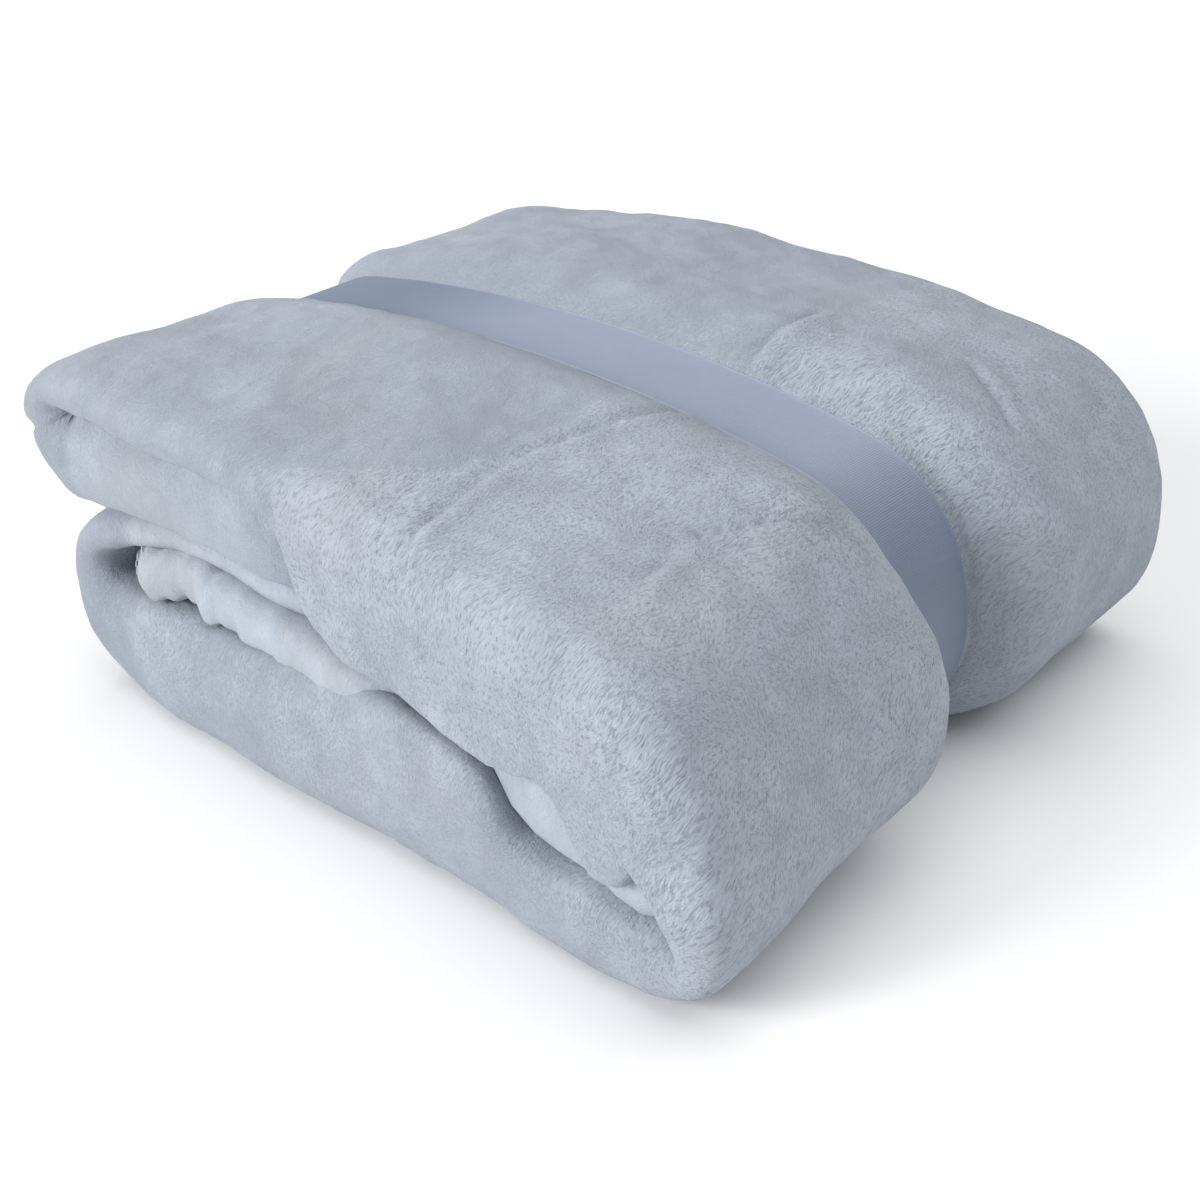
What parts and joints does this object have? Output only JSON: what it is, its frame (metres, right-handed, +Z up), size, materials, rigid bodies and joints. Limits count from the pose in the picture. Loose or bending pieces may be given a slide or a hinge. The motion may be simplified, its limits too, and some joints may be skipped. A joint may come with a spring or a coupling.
{
  "type": "folded throw blanket",
  "caption": "Plush fleece throw folded into a thick rectangular pack and held round its middle by a flat ribbon.",
  "frame": {"origin": "middle of the underside of the pack's box, on the surface that it rests on", "axes": "+X along the folded layers, towards the big outer wrap; -Y is the front with the rounded layer folds; +Z up"},
  "size_m": [0.4416, 0.3836, 0.1798],
  "materials": {
    "fleece": "double-sided short plush pile, light blue-grey",
    "hem_thread": "matte overlock thread",
    "label": "blank satin label",
    "ribbon": "satin grosgrain with fine cross ribs",
    "lap_tape": "double-sided adhesive tape"
  },
  "bodies": {
    "blanket": {"fleece_sheet": "fleece", "side_hem_thread_first": "hem_thread", "side_hem_thread_second": "hem_thread", "end_hem_thread_inner": "hem_thread", "end_hem_thread_outer": "hem_thread", "care_label": "label"},
    "ribbon": {"ribbon_band": "ribbon", "ribbon_lap_tape": "lap_tape"}
  },
  "joints": [
    {"name": "ribbon_slide", "type": "slide", "parent": "blanket", "child": "ribbon", "axis": [0, -1, 0], "range_m": [0, 0.26], "deforming": ["fleece_sheet"]}
  ]
}
